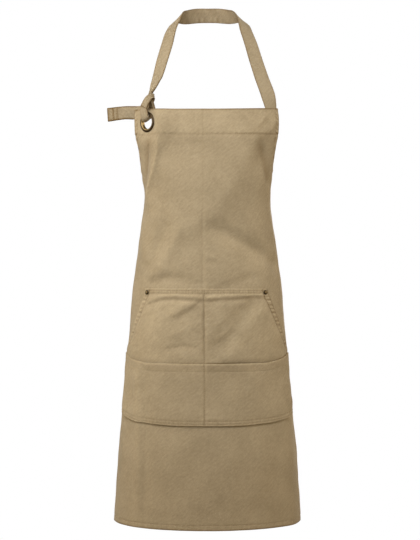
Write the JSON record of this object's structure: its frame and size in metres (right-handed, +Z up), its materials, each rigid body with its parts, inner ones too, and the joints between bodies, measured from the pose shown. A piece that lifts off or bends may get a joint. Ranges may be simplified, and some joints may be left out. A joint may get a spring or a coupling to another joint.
{
  "type": "bib apron",
  "caption": "Canvas bib apron in its worn form, with a hand-warmer pocket, a tool pocket and a neck strap knotted through a metal eyelet.",
  "frame": {"origin": "middle of the neck strap's inner face at the nape, where the wearer's neck holds the apron up", "axes": "+Z up, -Y the way the front of the apron faces, +X to the right as seen from the front"},
  "size_m": [0.4074, 0.2302, 1.0985],
  "materials": {
    "canvas": "matte plain-woven cotton canvas, khaki",
    "antique_brass": "darkened antique brass, satin"
  },
  "bodies": {
    "root": {"apron_body": "canvas", "upper_pocket": "canvas", "lower_pocket": "canvas", "neck_strap": "canvas", "waist_tie": "canvas", "eyelet": "antique_brass", "eyelet_washer": "antique_brass", "rivet_left": "antique_brass", "rivet_right": "antique_brass"}
  },
  "joints": []
}
